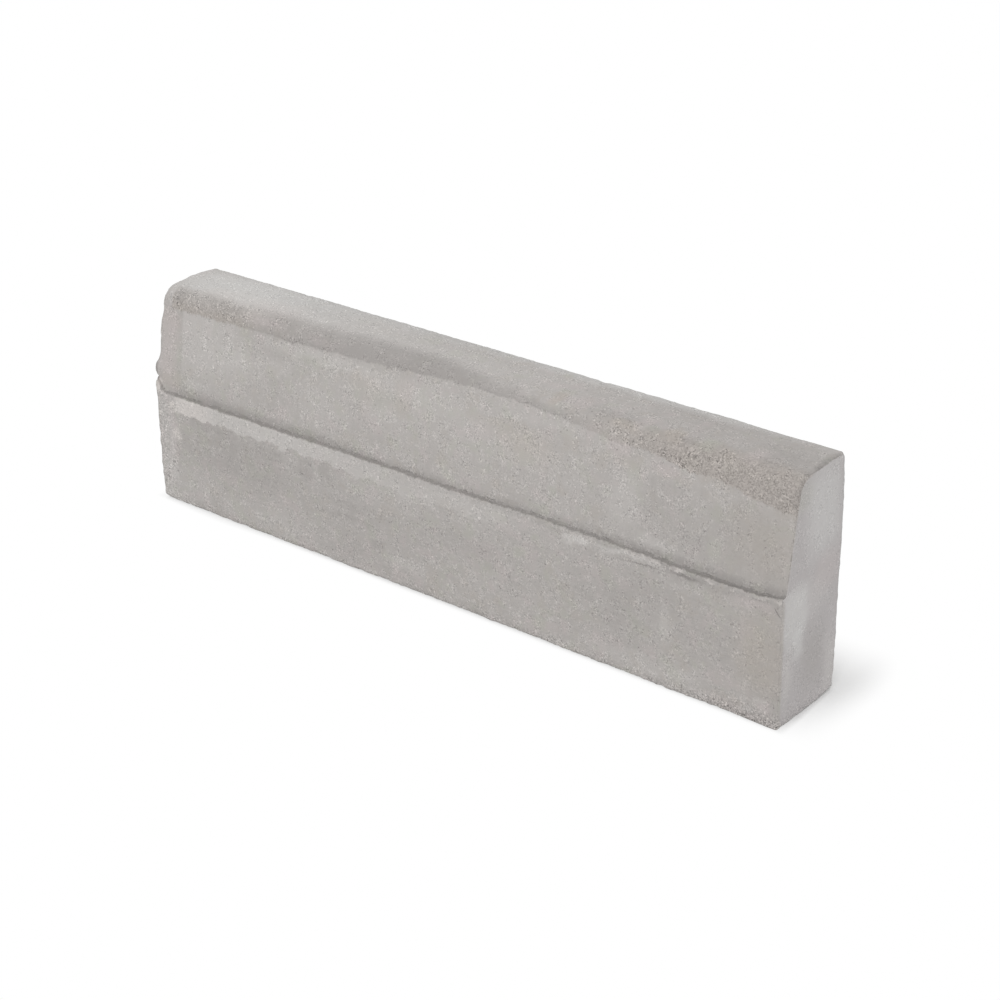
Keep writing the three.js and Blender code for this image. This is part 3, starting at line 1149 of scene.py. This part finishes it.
def bare_sand(wiring, tint, spot, colour):
    """Lays the sand bare along the nose: brown grains near the ends and a dark smear between them."""
    spot.sand_foot = spot.sand_down + spot.torn * 12.0 + spot.fine * 4.0
    sand_head = spot.sand_back + spot.torn * 30.0
    sandy = wiring.ramp(spot.sand_foot, -0.5, 2.0) * wiring.ramp(sand_head, -12.0, 8.0)
    spot.coarse = sandy * spot.coarseness * wiring.ramp(sand_head, -5.0, 18.0, 0.35, 1.0)
    smear_share = (
        wiring.ramp(spot.coarseness, 0.0, 0.6, 0.78, 0.0)
        * wiring.ramp(spot.x, -340, -80, 0.6, 1.0)
        * wiring.ramp(spot.x, -20, 120, 1.0, 0.65)
    )
    colour = wiring.blend(sandy * smear_share, colour, tint["streak"])
    colour = wiring.blend(sandy * spot.coarseness * 0.82, colour, tint["sand"])
    on_left = wiring.ramp(spot.x, -360, -335, 1.0, 0.0)
    colour = wiring.blend(
        sandy * on_left * wiring.ramp(spot.sand_foot, 9.0, 13.0, 0.2, 0.0), colour, tint["ochre"]
    )
    head = (
        wiring.ramp(sand_head, -4.0, 4.0) * wiring.ramp(sand_head, 10.0, 24.0, 1.0, 0.0) * on_left * 0.2
    )
    hook = wiring.bump_at(spot.x, -469, 10) * wiring.ramp(spot.sand_foot, 8.0, 14.0, 0.0, 0.4)
    # The dark line along the sand's torn lower limit is painted shade under the edge of the skin
    foot_share = wiring.most(wiring.bump_at(spot.x, -260, 130), wiring.bump_at(spot.x, 150, 130))
    foot = (
        wiring.bump_at(spot.sand_foot, 1.8, 3.4)
        * foot_share
        * wiring.ramp(spot.close, -0.06, 0.06, 0.12, 0.28)
    )
    colour = wiring.blend(sandy * wiring.most(head, hook, foot), colour, tint["grime"])
    return lay_stains(wiring, tint, colour, spot.stains, sandy * 0.5)


def speckle(wiring, look, spot, colour):
    """Fine speckle all over, in loose clusters, and single grains of sand where they lie bare."""
    _, chances = wiring.scatter(spot.place, 1.5)
    spot.grains = wiring.parts(chances)[0]
    spot.rough = wiring.most(spot.coarse, spot.broken)
    spot.cluster = spot.close + spot.torn * 0.5
    on_skin = (
        wiring.ramp(spot.cluster, -0.08, 0.1, 0.08, 2.3)
        * wiring.ramp(spot.on_end, 0.0, 1.0, 1.0, 0.85)
        * wiring.ramp(spot.x, 330, 430, 1.0, 0.8)
    )
    more_on_top = wiring.ramp(spot.z, 296, 299, 1.0, 1.2)
    amount = wiring.most(on_skin, spot.rough) * more_on_top * look.grain
    # Strong specks count for more than faint ones
    sharp = wiring.ramp(wiring.maths("ABSOLUTE", spot.fine), 0.02, 0.2, 0.25, 1.0)
    fine = spot.fine * sharp
    grains = (spot.grains - 0.5) * wiring.ramp(spot.rough, 0.0, 1.0, 0.16, 0.42)
    gain = 1.0 + (fine + grains) * amount
    return wiring.blend(1.0, colour, wiring.vector(gain, gain, gain), mode="MULTIPLY")


def crease_shade_and_grime(wiring, tint, spot, colour):
    """Painted shade and dirt along the ledge: a ragged dark line, a soft shade that runs up above it, and a
    pale torn rim.
    """
    level = spot.above_lip + spot.torn * 6.5 + spot.fine * 5.5
    off_middle = wiring.maths("ABSOLUTE", spot.x - 60)
    kept = wiring.ramp(spot.x, -490, -430, 0.1, 1.0)
    thick = wiring.ramp(spot.close, -0.1, 0.1, 1.6, 4.0) + wiring.ramp(spot.x, 330, 380, 0.0, 1.0)
    # The ragged dark line in the groove is dirt and painted shade
    line = (
        wiring.ramp(level, 0.0, 1.0)
        * wiring.ramp(level - thick, 0.0, 1.6, 1.0, 0.0)
        * wiring.ramp(spot.x, 360, 430, 0.55, 0.66)
        * wiring.ramp(spot.x, -485, -440, 0.8, 1.0)
    )
    # The soft band that runs up the cove above it is painted shade and dirt
    risen = level - spot.runs * 12.0
    above = (
        wiring.ramp(level, 0.5, 1.5)
        * wiring.ramp(risen, 2.0, wiring.ramp(off_middle, 120, 260, 10.0, 16.0), 1.0, 0.0)
        * wiring.ramp(off_middle, 120, 260, 0.34, 0.44)
        * kept
    )
    below = (
        wiring.ramp(level, -5.5, 0.0)
        * wiring.ramp(level, 0.5, 3.0, 1.0, 0.0)
        * wiring.ramp(spot.x, -250, -60, 0.0, 0.1)
    )
    # A thin crack below the lip runs up into the hollow under a flake; both are painted dark as the shade
    # in them
    crack_level = wiring.ramp(spot.x, 280, 340, -12.5, -8.0)
    crack = wiring.bump_at(level, crack_level, 1.5) * wiring.bump_at(spot.x, 312, 46) * 0.6
    hollow = wiring.bump_at(level, -5.5, 3.5) * wiring.bump_at(spot.x, 372, 32) * 0.6
    dirt_and_shade = wiring.most(line, above, below, crack, hollow) * spot.on_road_face * spot.off_end
    colour = wiring.blend(dirt_and_shade, colour, tint["grime"])
    rim_share = wiring.most(
        wiring.ramp(spot.x, -455, -435, 0.7, 0.0),
        wiring.ramp(spot.x, 200, 270, 0.15, 0.6) * wiring.ramp(spot.x, 390, 440, 1.0, 0.4),
    )
    rim = wiring.bump_at(level, -1.4, 2.0) * wiring.ramp(spot.cluster, -0.04, 0.06) * rim_share
    return wiring.blend(rim * spot.on_road_face * spot.off_end, colour, tint["cream"])


def edge_dirt_and_shade(wiring, tint, spot, colour):
    """Dirt on the worn edges and the nose's right end, a slight darkening at the foot, and painted shade in
    a small crack and on the left end's paste.
    """
    near = spot.to_edge + spot.torn * 9.0 + wiring.ramp(spot.x, 480, 490, 0.0, 0.7)
    rim_share = wiring.most(
        wiring.ramp(spot.x, -488, -492),
        wiring.ramp(spot.x, 488, 492) * wiring.ramp(spot.z, 140, 180, 0.4, 0.9),
        0.15,
    )
    rim = (
        wiring.ramp(near, 0.3, 2.0, 0.6, 0.0) * rim_share * wiring.ramp(spot.onto_end, 0.0, 1.5, 1.0, 0.3)
    )
    low = spot.z + spot.torn * 14.0
    foot = wiring.ramp(low, 2.0, 7.0, 0.03, 0.0)
    in_from_end = spot.onto_end + spot.torn * 5.0
    smudge = (
        wiring.ramp(in_from_end, -11.0, -2.5, 0.0, 0.6)
        * wiring.ramp(in_from_end, -0.5, 0.6, 1.0, 0.0)
        * wiring.ramp(spot.close, -0.12, 0.06, 0.35, 1.0)
        * wiring.ramp(spot.y, 36, 54, 1.0, 0.45)
    )
    nose_line = (
        wiring.most(wiring.bump_at(in_from_end, -0.9, 2.2) * 0.5, smudge)
        * wiring.ramp(spot.x, 480, 485)
        * wiring.ramp(spot.z, 255, 280)
        * wiring.ramp(spot.y, -30, 0, 0.6, 1.0)
    )
    # A small crack at the right end, painted dark as the shade in it
    slant = spot.x * 1.2 + spot.z + spot.torn * 4.0
    spot.crack = (
        wiring.bump_at(slant, 739.9, 1.7)
        * wiring.ramp(spot.x, 489, 491)
        * wiring.ramp(spot.x, 497, 499, 1.0, 0.0)
    )
    # Painted shade on the paste that stands out past the left end
    paste = wiring.ramp(spot.x, -499.4, -501.2, 0.0, 0.65) * wiring.ramp(spot.y, -56, -47, 1.0, 0.1)
    dirt_and_shade = wiring.most(rim, foot, nose_line, spot.crack * 0.6, paste)
    return wiring.blend(dirt_and_shade, colour, tint["grime"])


def flecks_and_pits(wiring, tint, spot, colour):
    """Pale flecks and dark specks where the skin is broken, and small pits painted dark as the shade in
    them.
    """
    to_fleck, chances = wiring.scatter(spot.place, 4.6)
    lot = wiring.parts(chances)[0]
    dots = wiring.ramp(to_fleck, 0.15, 0.27, 1.0, 0.0)
    under_sand = wiring.bump_at(spot.sand_foot, -2.0, 4.0) * wiring.ramp(spot.sand_down, -8.0, -4.0)
    upper_right_arris = (
        wiring.bump_at(spot.onto_end, 0.5, 4.0)
        * wiring.ramp(spot.z, 160, 180)
        * wiring.ramp(spot.x, 480, 490, 0.0, 0.6)
    )
    dotted = wiring.most(
        under_sand * 0.6,
        wiring.bump_at(spot.above_lip, -2.5, 4.0) * spot.on_road_face * 0.6,
        spot.broken * 0.7,
        upper_right_arris,
        wiring.ramp(spot.cluster, 0.03, 0.16, 0.0, 0.5),
    )
    fewer_on_end = wiring.most(wiring.ramp(spot.on_end, 0.0, 1.0, 1.0, 0.25), spot.broken)
    dotted = dots * dotted * fewer_on_end
    colour = wiring.blend(dotted * wiring.ramp(lot, 0.52, 0.56), colour, tint["cream"])
    colour = wiring.blend(dotted * wiring.ramp(lot, 0.48, 0.44) * 0.6, colour, tint["grime"])
    # Small pits: dipped by the bump and painted dark as the shade in them
    to_pit, _ = wiring.scatter(spot.place, 13.0)
    pits = wiring.ramp(to_pit, 0.045, 0.085, 1.0, 0.0)
    spot.pits = pits * wiring.ramp(spot.close, 0.04, -0.06) * fewer_on_end
    return wiring.blend(spot.pits * 0.5, colour, tint["grime"])


def concrete_material(look):
    """Cement skin with clouds, stains and bared sand, painted shade and grime along the ledge, and grime on
    the worn edges.
    """
    material = bpy.data.materials.new("cast_concrete_finish")
    wiring = emptied(material)
    tint = {name: (*getattr(look, name), 1.0) for name in TINTS}
    spot = read_skin(wiring, look)
    colour = skin_colour(wiring, look, tint, spot)
    colour = bare_sand(wiring, tint, spot, colour)
    colour = speckle(wiring, look, spot, colour)
    colour = crease_shade_and_grime(wiring, tint, spot, colour)
    colour = edge_dirt_and_shade(wiring, tint, spot, colour)
    colour = flecks_and_pits(wiring, tint, spot, colour)

    # Relief too fine for the mesh
    height = (
        spot.fine * 0.5
        + spot.grains * wiring.ramp(spot.rough, 0.0, 1.0, 0.05, 0.3)
        + spot.drags * 0.4
        + spot.pits * -0.8
        + spot.crack * -0.8
    )
    bump = wiring.node("ShaderNodeBump", {"Strength": 0.8, "Distance": 0.8 * MM, "Height": height})
    roughness = wiring.maths("ADD", look.roughness, spot.shade * -0.08, clamp=True)
    surface = wiring.node(
        "ShaderNodeBsdfPrincipled",
        {"Base Color": colour, "Roughness": roughness, "Normal": bump.outputs[0]},
    )
    wiring.node("ShaderNodeOutputMaterial", {"Surface": surface.outputs[0]})
    return material


# ---------------------------------------------------------------------------
# Studio
# ---------------------------------------------------------------------------


PLAIN_WHITE = (1.0, 1.0, 1.0, 1.0)
FLOOR_REACH = 14.0
LAMP_PLACE = (3.4, -4.6, 5.0)
LAMP_AIM = (0.0, 0.0, 0.1)
LAMP_SIDE = 4.0
CAMERA_SIGHT = 100.0


def seen_directly(wiring):
    """One for what the camera sees, also by way of a mirror or glass."""
    rays = wiring.node("ShaderNodeLightPath").outputs
    return wiring.most(rays["Is Camera Ray"], rays["Is Glossy Ray"], rays["Is Transmission Ray"])


def floor_material(studio):
    """Pale floor that shows its shadow close to the stone and is plain white further off."""
    material = bpy.data.materials.new("studio_floor")
    wiring = emptied(material)
    x, y, _ = wiring.parts(wiring.node("ShaderNodeTexCoord").outputs["Object"])
    past_end = wiring.most(0.0, wiring.maths("ABSOLUTE", x) - stone_high.x)
    behind = wiring.most(0.0, y - stone_high.y)
    before = wiring.most(0.0, stone_low.y - y)
    # A close shadow hugs the foot and a wide one lies behind; both are weaker on the side of the light
    lee = y - wiring.ramp(x, stone_low.x - 10 * MM, stone_low.x + 10 * MM, 40 * MM, 0.0)
    shares = wiring.vector(past_end / studio.shadow_side, behind / studio.shadow_back)
    wide = wiring.ramp(wiring.length(shares), 0.0, 1.0, 1.0, 0.0, smooth=True)
    wide *= wiring.ramp(lee, -70 * MM, 60 * MM)
    near_foot = wiring.length(wiring.vector(past_end, behind))
    near_left_end = wiring.bump_at(x, -380 * MM, 130 * MM)
    front_reach = studio.shadow_front * (1.0 + near_left_end * 1.2)
    close = (
        wiring.ramp(near_foot, 2 * MM, 13 * MM, 1.0, 0.0)
        * wiring.ramp(lee, -75 * MM, -20 * MM, 0.2, 1.0)
        * wiring.ramp(before / front_reach, 0.0, 1.0, 1.0, 0.0)
    )
    white_share = 1.0 - wiring.most(wide, close) * studio.shadow_share
    matt = wiring.node("ShaderNodeBsdfDiffuse", {"Color": (*studio.floor_colour, 1.0)})
    white = wiring.node("ShaderNodeEmission", {"Color": PLAIN_WHITE, "Strength": 1.0})
    whitened = seen_directly(wiring) * white_share
    mixed = wiring.node("ShaderNodeMixShader", {0: whitened, 1: matt.outputs[0], 2: white.outputs[0]})
    wiring.node("ShaderNodeOutputMaterial", {"Surface": mixed.outputs[0]})
    return material


def light_sky(studio):
    """Even light from all round, and a plain white backdrop for the camera."""
    world = bpy.data.worlds.new("studio_sky")
    bpy.context.scene.world = world
    wiring = emptied(world)
    strength = wiring.ramp(seen_directly(wiring), 0.0, 1.0, studio.sky_light, 1.0)
    sky = wiring.node("ShaderNodeBackground", {"Color": PLAIN_WHITE, "Strength": strength})
    wiring.node("ShaderNodeOutputWorld", {"Surface": sky.outputs[0]})


def add_lamp(studio):
    """A large square lamp that looks at the stone."""
    lamp = bpy.data.lights.new("key_lamp", "AREA")
    lamp.shape = "SQUARE"
    lamp.size = LAMP_SIDE
    lamp.energy = studio.key_light
    holder = bpy.data.objects.new("key_lamp", lamp)
    bpy.context.scene.collection.objects.link(holder)
    look = (Vector(LAMP_AIM) - Vector(LAMP_PLACE)).to_track_quat("-Z", "Y")
    holder.matrix_world = Matrix.Translation(LAMP_PLACE) @ look.to_matrix().to_4x4()


def add_camera(studio):
    """The camera, placed round the point that it looks at."""
    turn, rise, roll = studio.camera_turn, studio.camera_rise, studio.camera_roll
    back = Vector((math.sin(turn) * math.cos(rise), -math.cos(turn) * math.cos(rise), math.sin(rise)))
    right = (-back).cross(Vector((0.0, 0.0, 1.0))).normalized()
    up = right.cross(-back)
    right, up = (
        right * math.cos(roll) + up * math.sin(roll),
        up * math.cos(roll) - right * math.sin(roll),
    )
    camera = bpy.data.cameras.new("studio_camera")
    camera.lens = studio.camera_lens
    camera.clip_end = CAMERA_SIGHT
    holder = bpy.data.objects.new("studio_camera", camera)
    bpy.context.scene.collection.objects.link(holder)
    place = Vector(studio.looked_at) + back * studio.camera_distance
    holder.matrix_world = Matrix.Translation(place) @ Matrix((right, up, back)).transposed().to_4x4()
    bpy.context.scene.camera = holder


# ---------------------------------------------------------------------------
# Operators and panel
# ---------------------------------------------------------------------------


class KERB_OT_cast_stone(bpy.types.Operator):
    """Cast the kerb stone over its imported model"""

    bl_idname = "kerb.cast_stone"
    bl_label = "Cast Kerb Stone"
    bl_options = {"REGISTER", "UNDO"}

    def execute(self, context):
        scene = context.scene
        stone = bpy.data.objects.new(PIECE_NAME, bpy.data.meshes.new(PIECE_NAME))
        scene.collection.objects.link(stone)
        modifier = stone.modifiers.new("Casting", "NODES")
        modifier.node_group = casting_tree()
        values = {"Concrete": concrete_material(scene.kerb_concrete)}
        for settings in (scene.kerb_section, scene.kerb_relief):
            for setting in type(settings).__annotations__:
                values[socket_name(setting)] = float(getattr(settings, setting))
        set_inputs(modifier, values)
        cast = plain_mesh(stone, PIECE_NAME)
        stone.modifiers.remove(modifier)
        stone.data = cast
        if len(cast.polygons) == 0:
            raise RuntimeError("the casting came out empty")
        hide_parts(CAD_NODE)
        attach(stone, BODY)
        return {"FINISHED"}


class KERB_OT_set_stage(bpy.types.Operator):
    """Lay the floor and set the light and the camera"""

    bl_idname = "kerb.set_stage"
    bl_label = "Set Stage"
    bl_options = {"REGISTER", "UNDO"}

    def execute(self, context):
        studio = context.scene.kerb_studio
        floor_mesh = bpy.data.meshes.new("studio_floor")
        turns = ((-1, -1), (1, -1), (1, 1), (-1, 1))
        corners = [(FLOOR_REACH * across, FLOOR_REACH * deep, 0.0) for across, deep in turns]
        floor_mesh.from_pydata(corners, [], [(0, 1, 2, 3)])
        floor_mesh.materials.append(floor_material(studio))
        floor = bpy.data.objects.new("studio_floor", floor_mesh)
        context.scene.collection.objects.link(floor)
        light_sky(studio)
        add_lamp(studio)
        add_camera(studio)
        context.scene.view_settings.view_transform = "Standard"
        return {"FINISHED"}


class KERB_PT_casting(bpy.types.Panel):
    """Sizes, finish and steps of the kerb stone"""

    bl_idname = "KERB_PT_casting"
    bl_label = "Kerb Stone"
    bl_space_type = "VIEW_3D"
    bl_region_type = "UI"
    bl_category = "Kerb"

    def draw(self, context):
        layout = self.layout
        for owner, kind in SETTINGS.items():
            box = layout.box()
            box.label(text=owner.removeprefix("kerb_").title())
            for setting in kind.__annotations__:
                box.prop(getattr(context.scene, owner), setting)
        layout.operator(KERB_OT_cast_stone.bl_idname)
        layout.operator(KERB_OT_set_stage.bl_idname)


SETTINGS = {
    "kerb_section": KerbSectionSettings,
    "kerb_relief": KerbReliefSettings,
    "kerb_concrete": ConcreteSettings,
    "kerb_studio": StudioSettings,
}
CLASSES = (*SETTINGS.values(), KERB_OT_cast_stone, KERB_OT_set_stage, KERB_PT_casting)


def register():
    """Registers the classes and hangs the settings on the scene."""
    for kind in CLASSES:
        bpy.utils.register_class(kind)
    for name, kind in SETTINGS.items():
        setattr(bpy.types.Scene, name, PointerProperty(type=kind))


def unregister():
    """Takes the settings and the classes away again."""
    for name in SETTINGS:
        delattr(bpy.types.Scene, name)
    for kind in reversed(CLASSES):
        bpy.utils.unregister_class(kind)


def main():
    """Builds the stone and the stage."""
    register()
    bpy.ops.kerb.cast_stone()
    bpy.ops.kerb.set_stage()


if __name__ == "__main__":
    main()
